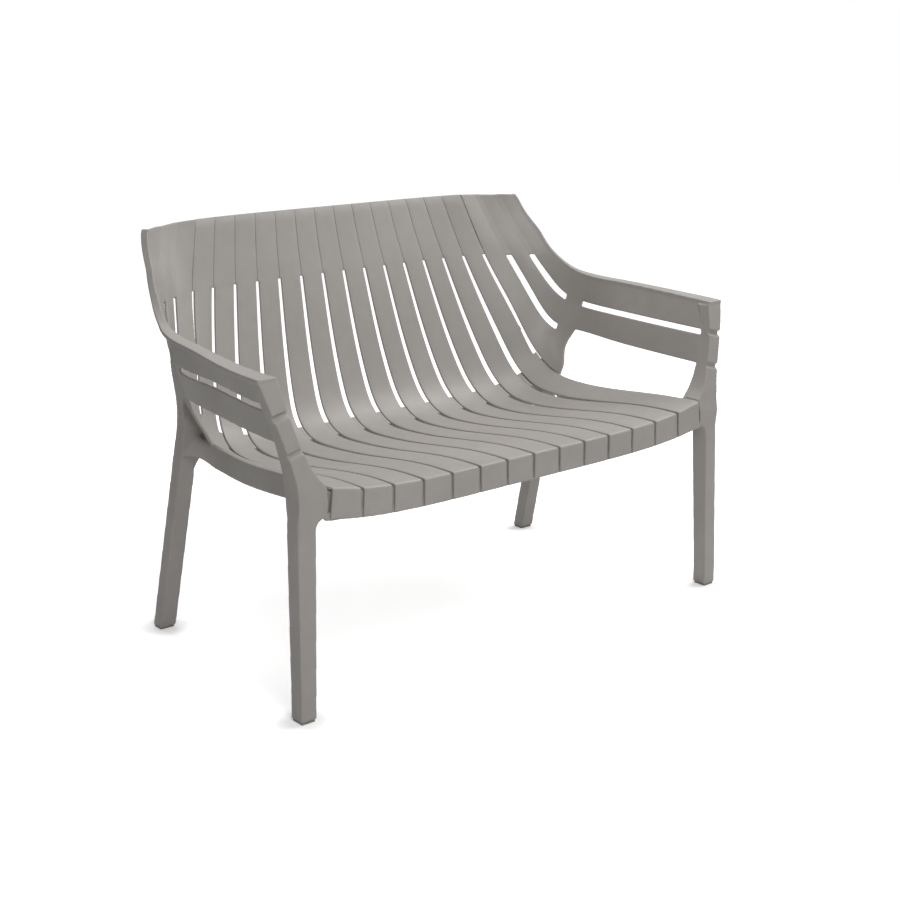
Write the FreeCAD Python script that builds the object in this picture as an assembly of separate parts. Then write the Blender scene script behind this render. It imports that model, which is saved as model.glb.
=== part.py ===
import FreeCAD
import Part
import os
from FreeCAD import Vector

os.makedirs("parts", exist_ok=True)

# Overall size. X runs across the sofa, the front faces -Y and the floor is Z = 0.
overall_depth = 645.0
overall_height = 816.0
slats_per_half = 7

# Seat and back line on the middle of the sofa: distances back from the front edge, the seat front's height
# above the floor, and the lift of the bend and of the lumbar above the lowest point of the seat.
seat_front_height = 400.0
seat_drop = 34.0
apron_height = 50.0
crown_from_front = 48.0
seat_low_from_front = 424.0
bend_from_front = 487.0
bend_lift = 23.0
lumbar_from_front = 533.0
lumbar_lift = 89.0
slot_top_from_front = 606.0
band_height = 136.0

# Spacing of the slats, which fan in towards the top edge; at the bend the inner ones stand a little wider apart.
seat_pitch = 68.4
bend_pitch = 64.5
bend_ease = 1.0
slot_top_pitch = 55.5
top_pitch = 49.8

# How far the outermost slat line stands above and in front of the middle one.
front_rise = 26.0
seat_rise = 36.0
bend_rise = 64.0
apron_splay = 5.5
bend_bow = 21.0
back_bow = 31.0
slot_top_bow = 21.0
top_bow = 15.0
sweep_power = 5

# Moulded slat: a thin skin.
slat_thickness = 5.0
nose_radius = 4.0
apron_gap = 7.0
seat_gap_front = 6.0
seat_gap_rear = 12.5
back_gap = 13.4
band_gap = 3.0
seam_gap = 1.0

# Arms, wings and the rim that caps them. A spread is how far a piece stands out beyond the edge of the seat.
arm_height = 623.0
arm_rise = 18.0
arm_spread = 73.2
arm_taper = 19.0
arm_front = 48.0
arm_rear = 400.0
arm_rim_width = 38.0
wing_rim_width = 14.0
corner_run = 100.0
corner_rise = 62.0
rim_thickness = 8.0
wing_spread = 3.2
wing_from_front = 583.0
wing_drop = 8.0
panel_thickness = 5.0
board_bulge = 15.0
arm_bulge = 6.0
wing_bulge = 12.0
arm_slot_height = 12.0
finger_reach = 0.25
lower_line_share = 0.36
upper_line_share = 0.71

# Legs, posts and foot glides.
leg_set_back = 0.5
leg_width = 32.0
leg_depth = 33.0
front_leg_spread = 74.7
rear_leg_spread = 40.2
rear_leg_from_front = 551.5
rear_leg_width = 35.0
rear_leg_depth = 29.5
rear_leg_lean = 0.246
rear_leg_splay = 0.032
shoulder_web = 12.0
leg_head_fillet = 20.0
post_groove_height = 12.0
post_groove_depth = 6.0
glide_thickness = 5.0
glide_inset = 2.0
glide_peg_width = 10.0
glide_peg_length = 12.0

# Rails under and behind the slats.
rail_width = 18.0
rail_depth = 30.0
side_rail_width = 14.0
side_rail_room = 1.9
arch_lift = 24.0
front_rail_room = 0.5
front_rail_depth = 44.0
seat_rail_room = 0.5
lumbar_rail_thickness = 6.0
lumbar_rail_room = 2.2
lumbar_lip_drop = 14.0
band_rail_thickness = 6.0
band_rail_height = 70.0
band_rail_room = 0.5
clearance = 0.3

seat_half_width = slats_per_half * seat_pitch
arm_half_width = seat_half_width + arm_spread
wing_half_width = seat_half_width + wing_spread
front_leg_half_width = seat_half_width + front_leg_spread
rear_leg_half_width = seat_half_width + rear_leg_spread

ACROSS = Vector(1, 0, 0)
UP = Vector(0, 0, 1)
BACK = Vector(0, 1, 0)


def at(x, from_front, z):
    return Vector(x, from_front - overall_depth / 2, z)


def unit(v):
    return v * (1.0 / v.Length)


def mix(a, b, share):
    return a * (1.0 - share) + b * share


def spline(points):
    curve = Part.BSplineCurve()
    curve.interpolate(points)
    return curve


def edge_through(points):
    return Part.makeLine(*points) if len(points) == 2 else spline(points).toShape()


def closed_solid(faces):
    skin = Part.makeCompound(faces)
    skin.sewShape()
    solid = Part.Solid(skin.Shells[0])
    if solid.Volume < 0:
        solid.reverse()
    return solid


def polygon_face(points):
    return Part.Face(Part.makePolygon(points + [points[0]]))


# Press the corners of an end section into one plane.
def flattened(points):
    normal = unit((points[1] - points[0]).cross(points[-1] - points[0]))
    return [p - normal * (p - points[0]).dot(normal) for p in points]


# A bar whose polygon section changes along its length; neighbouring runs meet at a sharp bend.
def swept_bar(runs):
    runs = [list(run) for run in runs]
    runs[0][0], runs[-1][-1] = flattened(runs[0][0]), flattened(runs[-1][-1])
    faces = [polygon_face(runs[0][0]), polygon_face(runs[-1][-1])]
    corners = len(runs[0][0])
    for run in runs:
        edges = [edge_through([section[c] for section in run]) for c in range(corners)]
        for c in range(corners):
            faces.append(Part.makeRuledSurface(edges[c], edges[(c + 1) % corners]))
    return closed_solid(faces)


# A curved sheet between two grids of points, made of the patches that are listed; the rest stays open.
def curved_sheet(inner, outer, row_stops, patches):
    curves = []
    for points in (inner, outer):
        for column in range(len(points[0])):
            line = [row[column] for row in points]
            curve = spline(line)
            curves.append((curve, [curve.parameter(p) for p in line]))
    columns = len(inner[0])

    def along(side, row, column):
        curve, places = curves[side * columns + column]
        return curve.toShape(places[row_stops[row]], places[row_stops[row + 1]])

    def across(points, stop, column):
        return Part.makeLine(points[row_stops[stop]][column], points[row_stops[stop]][column + 1])
    faces = []
    for row, column in patches:
        for side in (0, 1):
            faces.append(Part.makeRuledSurface(along(side, row, column), along(side, row, column + 1)))
            if (row, column - 1 + 2 * side) not in patches:
                faces.append(Part.makeRuledSurface(along(0, row, column + side), along(1, row, column + side)))
            if (row - 1 + 2 * side, column) not in patches:
                faces.append(Part.makeRuledSurface(across(inner, row + side, column), across(outer, row + side, column)))
    return closed_solid(faces)


def mirrored(shape):
    return shape.mirror(Vector(0, 0, 0), ACROSS)


def save(name, shape):
    shape.exportStep("parts/" + name + ".step")


def save_pair(name, shape):
    save(name + "_right", shape)
    save(name + "_left", mirrored(shape))


# Stations along a slat: distance from the front, height, pitch, forward bow, rise at the outermost line, gap.
seat_low = seat_front_height - seat_drop
bend_height = seat_low + bend_lift
lumbar_height = seat_low + lumbar_lift
slot_top_height = overall_height - band_height
top_from_front = overall_depth - slat_thickness
CROWN = (crown_from_front, seat_front_height, seat_pitch, 0.0, front_rise, seat_gap_front)
SEAT_MID = (mix(crown_from_front, seat_low_from_front, 0.6), mix(seat_low, seat_front_height, 0.28),
            seat_pitch - 1.2, 0.0, seat_rise, mix(seat_gap_front, seat_gap_rear, 0.3))
SEAT_REAR = (mix(crown_from_front, seat_low_from_front, 0.92), mix(seat_low, seat_front_height, 0.02),
             seat_pitch - 2.2, 3.0, seat_rise + 12.0, mix(seat_gap_front, seat_gap_rear, 0.9))
SLOT_START = (mix(seat_low_from_front, bend_from_front, 0.45), mix(seat_low, bend_height, 0.12),
              bend_pitch + 1.5, 0.98 * bend_bow, 0.86 * bend_rise, seat_gap_rear, 0.5 * bend_ease)
BEND = (bend_from_front, bend_height, bend_pitch, bend_bow, bend_rise, back_gap, bend_ease)
LUMBAR = (lumbar_from_front, lumbar_height, mix(bend_pitch, slot_top_pitch, 0.28),
          back_bow, 0.98 * bend_rise, back_gap, bend_ease)
SLOT_TOP = (slot_top_from_front, slot_top_height, slot_top_pitch, slot_top_bow, 0.0, back_gap)
BAND_MID = (mix(slot_top_from_front, top_from_front, 0.54), mix(slot_top_height, overall_height, 0.5),
            mix(slot_top_pitch, top_pitch, 0.5), mix(slot_top_bow, top_bow, 0.5), 0.0, band_gap)
TOP = (top_from_front, overall_height, top_pitch, top_bow, 0.0, band_gap)
LINE = [CROWN, SEAT_MID, SEAT_REAR, SLOT_START, BEND, LUMBAR, SLOT_TOP, BAND_MID, TOP]
BAND = [SLOT_TOP, BAND_MID, TOP]
NOSE = (0.0, seat_front_height, seat_pitch, 0.0, front_rise)
APRON = (0.0, seat_front_height - apron_height, seat_pitch, 0.0, 0.84 * front_rise)


def sweep(count):
    return (abs(count) / slats_per_half) ** sweep_power


# A point on the line between two slats, counted outwards from the middle of the sofa.
def seam(count, station):
    from_front, height, pitch, bow, rise = station[:5]
    ease = station[6] if len(station) > 6 else 0.0
    x = pitch * count + ease * count * (1.0 - (abs(count) / slats_per_half) ** (sweep_power - 1))
    return at(x, from_front - bow * sweep(count), height + rise * sweep(count))


def apron_seam(count):
    return seam(count, APRON) + ACROSS * apron_splay * sweep(count)


def half_gap(count, station):
    closed = count == slats_per_half and station in LINE[:5]
    return 0.5 * (seam_gap if closed else station[5])


def slope(points):
    curve = spline(points)
    return [unit(curve.tangent(curve.parameter(p))[0]) for p in points]


# Left point, right point, direction across and direction into a slat, for every station of its line.
def slat_frames(count):
    lefts = [seam(count, s) for s in LINE]
    rights = [seam(count + 1, s) for s in LINE]
    slopes = slope([mix(a, b, 0.5) for a, b in zip(lefts, rights)])
    frames = {}
    for station, left, right, tangent in zip(LINE, lefts, rights, slopes):
        across = unit(right - left)
        frames[station] = (left, right, across, unit(tangent.cross(across)))
    return frames


def strip(left, right, into):
    return [left, right, right + into * slat_thickness, left + into * slat_thickness]


# The turned-down front edge: the apron, then the small radius over the top.
def nose_sections(count):
    def inside_gap(left, right):
        across = unit(right - left) * apron_gap / 2
        return [left + across, right - across, right - across, left + across]
    low_line = inside_gap(apron_seam(count), apron_seam(count + 1))
    line = inside_gap(seam(count, NOSE), seam(count + 1, NOSE))
    depths = [0.0, 0.0, slat_thickness, slat_thickness]
    sections = [[p + BACK * d for p, d in zip(low_line, depths)]]
    for back, drop in ((0.0, nose_radius), (0.3 * nose_radius, 0.3 * nose_radius), (nose_radius, 0.0)):
        turned = 0.1 * (back - drop)
        sections.append([p + BACK * (d + turned if d else back) - UP * (d - turned if d else drop)
                         for p, d in zip(line, depths)])
    return sections


def slat(count):
    frames = slat_frames(count)
    body = []
    for station in LINE[:7]:
        left, right, across, into = frames[station]
        left, right = left + across * half_gap(count, station), right - across * half_gap(count + 1, station)
        body.append(strip(left, right, into))
    low, front, turn, top = nose_sections(count)
    lower = swept_bar([[low, front], [front, turn], [turn, top], [top] + body])
    head = []
    for station in BAND:
        left, right, across, into = frames[station]
        head.append(strip(left + across * band_gap / 2, right - across * band_gap / 2, into))
    return lower.fuse(swept_bar([head])).removeSplitter()


# The rim line runs along the arm, bends up the wing and ends at the top corner of the back.
arm_inset = arm_half_width - arm_taper
arm_top = arm_height + arm_rise
corner_top = arm_top + corner_rise
rim_keys = [at(arm_half_width, arm_front, arm_height),
            at(arm_half_width + 2.0, mix(arm_front, arm_rear, 0.38), arm_height + 0.3 * arm_rise),
            at(mix(arm_half_width, arm_inset, 0.47), mix(arm_front, arm_rear, 0.72), arm_height + 0.66 * arm_rise),
            at(arm_inset, arm_rear, arm_top),
            at(mix(arm_inset, wing_half_width, 0.1), arm_rear + 0.46 * corner_run, mix(arm_top, corner_top, 0.21)),
            at(mix(arm_inset, wing_half_width, 0.44), arm_rear + corner_run, corner_top),
            at(mix(arm_inset, wing_half_width, 0.578), mix(arm_rear + corner_run, wing_from_front, 0.52),
               mix(corner_top, overall_height - wing_drop, 0.5)),
            at(wing_half_width, wing_from_front, overall_height - wing_drop)]
rim_out = [Vector(1, 0, 0), Vector(1, 0, 0), Vector(1, 0.1, 0), Vector(0.95, 0.3, 0),
           Vector(0.8, 0.6, 0), Vector(0.66, 0.75, 0), Vector(0.64, 0.77, 0), Vector(0.62, 0.78, 0)]
rim_taper = [0.0, 0.25, 0.45, 0.6, 0.85, 1.0, 1.0, 1.0]
rim_line = spline(rim_keys)
key_places = [rim_line.parameter(p) for p in rim_keys]


# Section of the rim at a place between two of its key points.
def rim_section(key, share):
    nxt = min(key + 1, len(rim_keys) - 1)
    place = mix(key_places[key], key_places[nxt], share)
    corner = rim_line.value(place)
    out = unit(mix(rim_out[key], rim_out[nxt], share))
    width = mix(arm_rim_width, wing_rim_width, mix(rim_taper[key], rim_taper[nxt], share))
    inward = unit(rim_line.tangent(place)[0]).cross(out)
    if key == len(rim_keys) - 1:
        inward.z = 0.0
    inward = unit(inward) * rim_thickness
    return [corner, corner + out * width, corner + out * width + inward, corner + inward]


rim_stops = [(0, 0.0), (0, 0.24), (1, 0.0), (2, 0.0), (3, 0.0), (4, 0.0), (4, 0.35), (4, 0.7), (6, 0.0), (7, 0.0)]
rim_sections = [rim_section(key, share) for key, share in rim_stops]

# Heights and widths of the front leg, from the head beside the front edge up to the top of the post.
outer = slats_per_half
head_low = seam(outer, APRON).z
head_bottom = apron_seam(outer).x + apron_gap / 2
head_top = seam(outer, NOSE).x + apron_gap / 2
head_high = seam(outer, NOSE).z
post_top = arm_height - rim_thickness - clearance
knee = head_bottom + leg_head_fillet + 3.0


# Rear face of the post: nearly straight above the seat, then sweeping back under the rim.
def post_rear(z):
    share = (z - head_high) / (post_top - head_high)
    return at(0, mix(leg_depth + 17.0, arm_front + leg_depth - 1.0, 0.2 * share + 0.8 * share ** 5), z)


# The arm panel spans from the outermost slat line up to the rim. Two lines run along it:
# the lower one edges the lower board, the upper one is the slot between the boards.
low_edge = [seam(outer, CROWN) - BACK * 8.0,
            mix(seam(outer, CROWN), seam(outer, SEAT_MID), 0.55),
            mix(seam(outer, SEAT_MID), seam(outer, SEAT_REAR), 0.25),
            seam(outer, SEAT_REAR) + BACK * 17.0, seam(outer, BEND),
            mix(seam(outer, LUMBAR), seam(outer, SLOT_TOP), 0.23),
            seam(outer, SLOT_TOP), seam(outer, BAND_MID), seam(outer, TOP)]
high_edge = [s[3] + unit(s[3] - s[0]) * clearance for s in rim_sections[1:]]
line_lift = [0.0, 0.035, 0.07, 0.09, 0.0, 0.0, 0.0, 0.0, 0.0]
slot_lift = [0.0, 0.01, 0.022, 0.032, 0.0, 0.0, 0.0, 0.0, 0.0]
ROWS = ["front", "board fore", "board aft", "arm rear", "slot low", "finger", "slot high", "band", "edge"]
ROW = {name: i for i, name in enumerate(ROWS)}


def arm_grid():
    count = len(low_edge)
    middles = [mix(a, b, 0.5) for a, b in zip(low_edge, high_edge)]
    rows = []
    for i in range(count):
        chord = high_edge[i] - low_edge[i]
        path = middles[min(i + 1, count - 1)] - middles[max(i - 1, 0)]
        out = unit(path.cross(chord))
        low, high = low_edge[i] + unit(chord) * seam_gap, high_edge[i]
        lower = mix(low, high, lower_line_share + line_lift[i]) + out * board_bulge
        upper = mix(low, high, upper_line_share + slot_lift[i]) + out * (arm_bulge if i < ROW["arm rear"] else wing_bulge)
        if i == ROW["edge"]:
            for share, p in ((lower_line_share, lower), (upper_line_share, upper), (1.0, high)):
                p.z = overall_height - wing_drop * share
        slopes = slope([low, lower, upper, high])
        half = 0.5 * (arm_slot_height if i <= ROW["arm rear"] else back_gap)
        rows.append([low, lower - slopes[1] * half, lower + slopes[1] * half,
                     upper - slopes[2] * half, upper + slopes[2] * half, high])
    for p in rows[ROW["front"]][1:5]:
        p.y = post_rear(p.z).y + 2 * clearance
    for j in range(1, 5):
        rows[ROW["slot low"]][j] = mix(rows[ROW["slot low"]][j], rows[ROW["arm rear"]][j], finger_reach)
    return rows


def grid_normals(rows):
    count, columns = len(rows), len(rows[0])
    normals = []
    for i in range(count):
        row = []
        for j in range(columns):
            path = rows[min(i + 1, count - 1)][j] - rows[max(i - 1, 0)][j]
            chord = rows[i][min(j + 1, columns - 1)] - rows[i][max(j - 1, 0)]
            row.append(unit(path.cross(chord)))
        normals.append(row)
    return normals


grid = arm_grid()
normals = grid_normals(grid)


def offset_grid(distance):
    return [[p + n * distance for p, n in zip(row, out)] for row, out in zip(grid, normals)]


PANEL_STOPS = [ROW[name] for name in ("front", "arm rear", "slot low", "slot high", "edge")]


def arm_panel():
    boards, fingers, whole = (2, 4), (0, 2, 4), range(5)
    patches = [(0, c) for c in boards] + [(1, c) for c in whole]
    patches += [(2, c) for c in fingers] + [(3, c) for c in whole]
    return curved_sheet(offset_grid(0.0), offset_grid(panel_thickness), PANEL_STOPS, patches)


# Front leg: the outline seen from the front, crossed with the outline seen from the side.
def front_outline():
    def p(x, z):
        return at(x, -leg_depth, z)

    def lean(share_x, share_z, foot):
        return p(mix(foot, arm_half_width - 1.5, share_x), mix(head_high, post_top, share_z))
    inner = [p(head_top, head_high), lean(0.31, 0.14, head_top), lean(0.57, 0.35, head_top),
             lean(0.85, 0.72, head_top), p(arm_half_width - 1.5, post_top)]
    hip = front_leg_half_width - 12.0
    crest = arm_half_width + arm_rim_width - 2.0
    outer_side = [p(crest, post_top), p(mix(hip, crest, 0.64), mix(head_high, post_top, 0.68)),
                  p(mix(hip, crest, 0.21), mix(head_high, post_top, 0.3)), p(hip, head_high)]
    r = leg_head_fillet
    arc = Part.Arc(p(knee, head_low - r), p(knee - 0.29 * r, head_low - 0.29 * r), p(knee - r, head_low))
    floor_in, floor_out = p(front_leg_half_width - leg_width, glide_thickness), p(front_leg_half_width, glide_thickness)
    return Part.Wire([Part.makeLine(floor_in, p(knee, head_low - r)), arc.toShape(),
                      Part.makeLine(p(knee - r, head_low), p(head_bottom, head_low)),
                      Part.makeLine(p(head_bottom, head_low), inner[0]), edge_through(inner),
                      Part.makeLine(inner[-1], outer_side[0]), edge_through(outer_side),
                      Part.makeLine(outer_side[-1], floor_out), Part.makeLine(floor_out, floor_in)])


def side_outline():
    def p(from_front, z):
        return at(0, from_front, z)
    face = leg_set_back
    top_z, head_z = post_top, head_high
    front = [p(face, seat_front_height), p(face + 6.0, head_z), p(mix(face, arm_front, 0.4), mix(head_z, top_z, 0.35)),
             p(mix(face, arm_front, 0.69), mix(head_z, top_z, 0.72)), p(arm_front - clearance, top_z)]
    rear = [post_rear(mix(head_z, top_z, share)) for share in (1.0, 0.87, 0.7, 0.36, 0.0)]
    low_front, low_rear = p(face, glide_thickness), p(face + leg_depth, glide_thickness)
    neck = p(face + leg_depth, head_low)
    return Part.Wire([Part.makeLine(low_front, front[0]), edge_through(front), Part.makeLine(front[-1], rear[0]),
                      edge_through(rear), Part.makeLine(rear[-1], neck), Part.makeLine(neck, low_rear),
                      Part.makeLine(low_rear, low_front)])


def post_groove(share_z, share_y):
    x = arm_half_width
    z = mix(head_high, post_top, share_z)
    front = mix(leg_set_back, arm_front, share_y)
    box = Part.makeBox(5 * arm_rim_width, post_groove_depth + leg_depth, post_groove_height,
                       at(x - 3 * arm_rim_width, front - leg_depth, z - post_groove_height / 2))
    box.rotate(at(x, front, z), BACK, 11.0)
    return box


# A square block on the middle of a foot, from the floor up.
def foot_block(foot, wide, deep, high):
    x, from_front = foot
    return Part.makeBox(wide, deep, high, at(x - wide / 2, from_front - deep / 2, 0.0))


def peg_hole(foot):
    wide = glide_peg_width + 2 * clearance
    return foot_block(foot, wide, wide, glide_thickness + glide_peg_length + clearance)


def glide(foot, leg_wide, leg_deep):
    pad = foot_block(foot, leg_wide - 2 * glide_inset, leg_deep - 2 * glide_inset, glide_thickness)
    peg = foot_block(foot, glide_peg_width, glide_peg_width, glide_thickness + glide_peg_length)
    return pad.fuse(peg).removeSplitter()


front_foot = (front_leg_half_width - leg_width / 2, leg_set_back + leg_depth / 2)
rear_foot = (rear_leg_half_width - rear_leg_width / 2, rear_leg_from_front + rear_leg_depth / 2)


def front_leg():
    seen_from_front = Part.Face(front_outline()).extrude(BACK * (arm_front + 3 * leg_depth))
    seen_from_side = Part.Face(side_outline()).extrude(ACROSS * (arm_half_width + 2 * arm_rim_width))
    leg = seen_from_front.common(seen_from_side)
    leg = leg.cut(post_groove(0.7, 0.68)).cut(post_groove(0.33, 0.38))
    return leg.cut(peg_hole(front_foot))


# The rear leg leans forwards and in, widens into a web beside the seat, then fades into a thin stem on the
# outside of the arm panel.
def rear_leg_level(z, out=0.0, forward=0.0, web=0.0):
    outside = rear_leg_half_width - rear_leg_splay * z + out
    front = rear_leg_from_front - rear_leg_lean * z - forward
    inside = outside - rear_leg_width - web
    return [at(inside, front, z), at(outside, front, z),
            at(outside, front + rear_leg_depth, z), at(inside, front + rear_leg_depth, z)]


def rear_leg():
    shin = rear_leg_level(head_low - leg_head_fillet)
    stem = [shin]
    for share, out, forward, web in ((-0.02, 0.0, 0.0, 1.0), (0.18, 0.0, 0.0, 0.5), (0.49, 0.31, 0.03, 0.0),
                                     (0.785, 0.77, -0.13, 0.0), (0.92, 0.89, -0.1, 0.0)):
        stem.append(rear_leg_level(mix(seat_front_height, arm_height, share), out * rear_leg_width,
                                   forward * rear_leg_depth, web * shoulder_web))
    leg = swept_bar([[rear_leg_level(glide_thickness), shin], stem])
    bowl = curved_sheet(offset_grid(-25.0), offset_grid(panel_thickness + clearance),
                        PANEL_STOPS[:4], [(r, c) for r in range(3) for c in range(5)])
    pieces = leg.cut(bowl).Solids
    return max(pieces, key=lambda piece: piece.Volume).cut(peg_hole(rear_foot))


# Section of the side rail under the outer edge of the outermost slat.
def side_rail_section(station):
    left, right, across, into = slat_frames(slats_per_half - 1)[station]
    drop = UP * (apron_height - slat_thickness - 4.0)
    edge = right - across * half_gap(slats_per_half, station) + into * (slat_thickness + side_rail_room)
    return [edge, edge - across * side_rail_width, edge - across * side_rail_width - drop, edge - drop]


# The same section part of the way between two stations, kept on the curve of the slat's edge.
def side_rail_between(first, second, share):
    line = spline([seam(outer, NOSE) + BACK * nose_radius] + [seam(outer, s) for s in LINE])
    a, b = seam(outer, first), seam(outer, second)
    shift = line.value(mix(line.parameter(a), line.parameter(b), share)) - mix(a, b, share)
    return [mix(p, q, share) + shift for p, q in zip(side_rail_section(first), side_rail_section(second))]


def side_rail():
    crown, middle, rear = [side_rail_section(station) for station in (CROWN, SEAT_MID, SEAT_REAR)]
    front = [p - BACK * (crown_from_front - slat_thickness - 3.0) for p in crown]
    for corner in (0, 3):
        front[corner].x = mix(head_bottom, head_top, (front[corner].z - head_low) / (head_high - head_low)) - clearance
    head_back = [p + BACK * (leg_depth - slat_thickness) for p in front]
    start = side_rail_section(SLOT_START)
    low, high = rear[2].z + arch_lift, start[0].z
    end = []
    crest = start[0] + (ACROSS + UP) * 0.55 * shoulder_web
    for z, corner, x in ((crest.z, 1, crest.x), (high, 0, start[1].x), (low, 0, None), (low, 1, None)):
        p = rear_leg_level(z)[corner] - BACK * clearance
        end.append(at(p.x if x is None else x, 0, z) + BACK * (p.y - at(0, 0, 0).y))
    neck = side_rail_between(CROWN, SEAT_MID, 0.1)
    run = [neck, side_rail_between(CROWN, SEAT_MID, 0.5), middle, side_rail_between(SEAT_MID, SEAT_REAR, 0.5),
           rear, end]
    return swept_bar([[front, head_back], [head_back, neck], run])


# Bring the end of a cross rail up to the inner face of the side rail.
def butt(section, station):
    for p in section:
        p.x = side_rail_section(station)[1].x - 2 * clearance


# Frame of a seam: its point, the direction along it and the direction into the seat.
def seam_frame(count, station):
    points = [seam(count, s) for s in LINE]
    tangent = slope(points)[LINE.index(station)]
    across = unit(seam(count + 0.5, station) - seam(count - 0.5, station))
    return seam(count, station), tangent, unit(tangent.cross(across))


def mirror_run(half):
    left = [[Vector(-p.x, p.y, p.z) for p in section] for section in reversed(half[1:])]
    return left + half


# Lines a cross rail passes under, from the middle to a little inside the outermost line.
def rail_counts(inside):
    return list(range(slats_per_half)) + [slats_per_half - inside]


def front_rail():
    front = slat_thickness + clearance
    half = []
    for count in rail_counts(0.3):
        p = seam(count, NOSE)
        top = p.z - slat_thickness - front_rail_room
        half.append([at(p.x, front, top), at(p.x, front + rail_width, top),
                     at(p.x, front + rail_width, top - front_rail_depth), at(p.x, front, top - front_rail_depth)])
    butt(half[-1], CROWN)
    return swept_bar([mirror_run(half)])


def seat_rail():
    half = []
    for count in rail_counts(0.25):
        p, tangent, into = seam_frame(count, SEAT_MID)
        top = p + into * (slat_thickness + seat_rail_room)
        side = tangent * rail_width / 2
        half.append([top - side, top + side, top + side + into * rail_depth, top - side + into * rail_depth])
    butt(half[-1], SEAT_MID)
    return swept_bar([mirror_run(half)])


# A rail close behind the bend of the slats, with a lip that drops away forwards under the seat.
def lumbar_rail():
    half = []
    for count in rail_counts(0.32):
        places = []
        for station, drop in ((SEAT_REAR, lumbar_lip_drop), (SLOT_START, lumbar_rail_room), (BEND, lumbar_rail_room)):
            p, tangent, into = seam_frame(count, station)
            places.append((p + into * (slat_thickness + drop), into * lumbar_rail_thickness))
        half.append([p for p, back in places] + [p + back for p, back in reversed(places)])
    return swept_bar([mirror_run(half)])


# A strap behind the closed top band that holds the heads of the slats.
def band_rail():
    half = []
    for count in rail_counts(0.1):
        p, tangent, into = seam_frame(count, BAND_MID)
        face, high = p + into * (slat_thickness + band_rail_room), tangent * band_rail_height / 2
        back = into * band_rail_thickness
        half.append([face - high, face + high, face + high + back, face - high + back])
    return swept_bar([mirror_run(half)])


for number in range(slats_per_half):
    save_pair("slat_%d" % (number + 1), slat(number))
save_pair("arm_rim", swept_bar([rim_sections]))
save_pair("arm_panel", arm_panel())
save_pair("front_leg", front_leg())
save_pair("rear_leg", rear_leg())
save_pair("side_rail", side_rail())
save_pair("front_glide", glide(front_foot, leg_width, leg_depth))
save_pair("rear_glide", glide(rear_foot, rear_leg_width, rear_leg_depth))
save("front_rail", front_rail())
save("seat_rail", seat_rail())
save("lumbar_rail", lumbar_rail())
save("band_rail", band_rail())
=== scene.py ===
# %% [markdown]
# # A moulded outdoor sofa
# The sofa is one warm grey resin moulding: fourteen J-shaped slats make the seat and the back, two arms
# carry the same lines round the corners, and four legs hold it off the ground. The CAD frame gives every
# piece its true size and place. This lesson gives the pieces their soft edges, their finish and their
# light. We start with the frame and measure it, so that later sizes can be taken from it.

# %% Load the frame
import math

import bmesh
import bpy
import numpy as np
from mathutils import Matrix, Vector


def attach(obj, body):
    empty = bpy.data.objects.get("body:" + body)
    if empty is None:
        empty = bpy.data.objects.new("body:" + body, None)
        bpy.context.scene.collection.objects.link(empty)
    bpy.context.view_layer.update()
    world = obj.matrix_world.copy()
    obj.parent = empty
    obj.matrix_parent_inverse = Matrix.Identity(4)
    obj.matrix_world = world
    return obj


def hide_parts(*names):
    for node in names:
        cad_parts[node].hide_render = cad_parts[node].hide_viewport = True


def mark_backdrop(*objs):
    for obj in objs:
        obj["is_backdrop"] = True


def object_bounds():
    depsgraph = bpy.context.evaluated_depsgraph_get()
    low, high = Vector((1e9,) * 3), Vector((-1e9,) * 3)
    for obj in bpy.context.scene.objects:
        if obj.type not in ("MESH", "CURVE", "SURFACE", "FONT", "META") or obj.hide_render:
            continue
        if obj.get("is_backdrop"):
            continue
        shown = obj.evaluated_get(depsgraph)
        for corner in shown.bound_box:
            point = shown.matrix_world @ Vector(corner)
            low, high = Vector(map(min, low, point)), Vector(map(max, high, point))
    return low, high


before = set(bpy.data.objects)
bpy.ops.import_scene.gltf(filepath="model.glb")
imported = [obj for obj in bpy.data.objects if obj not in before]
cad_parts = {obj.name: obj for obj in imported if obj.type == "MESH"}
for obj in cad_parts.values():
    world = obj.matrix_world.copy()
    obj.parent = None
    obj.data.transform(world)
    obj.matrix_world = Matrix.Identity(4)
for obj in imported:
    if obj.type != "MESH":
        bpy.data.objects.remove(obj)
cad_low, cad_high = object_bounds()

scene = bpy.context.scene
print("sofa is %.3f m wide, %.3f m deep, %.3f m high" % tuple(cad_high - cad_low))

# %% [markdown]
# ## The camera
# The picture was taken from the front left, a little above arm height, with a long lens that keeps the
# sofa's lines almost parallel. A camera needs a place, a direction and a lens. Ours stands where lines
# through matching points of the left and right halves meet, so the render can be laid over the photograph.

# %% Camera
scene.view_settings.view_transform = "Standard"
camera_place = Vector((-1.949, cad_low.y - 2.052, 1.200))
camera_turn = math.radians(40.25)
camera_dip = math.radians(15.69)
camera = bpy.data.objects.new("camera", bpy.data.cameras.new("camera"))
camera.data.sensor_width = 36.0
camera.data.lens = 61.25
camera.location = camera_place
camera.rotation_euler = (math.pi / 2 - camera_dip, 0.0, -camera_turn)
scene.collection.objects.link(camera)
scene.camera = camera
print("camera stands %.2f m from the sofa" % camera_place.length)

# %% [markdown]
# ## Small node helpers
# A material is a tree of nodes, and most of its nodes either work out a sum or turn one range of numbers
# into another. Two helpers write these nodes for the floor and for the resin, so that the trees below read
# almost like sums. An input can be a plain number or the output of another node.


# %% Node helpers
def new_material(name):
    material = bpy.data.materials.new(name)
    material.use_nodes = True
    material.node_tree.nodes.clear()
    return material, material.node_tree.nodes, material.node_tree.links


def feed(tree, socket, value):
    if isinstance(value, float):
        socket.default_value = value
    else:
        tree.links.new(value, socket)


def maths(tree, operation, a, b):
    node = tree.nodes.new("ShaderNodeMath")
    node.operation = operation
    feed(tree, node.inputs[0], a)
    feed(tree, node.inputs[1], b)
    return node.outputs[0]


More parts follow.
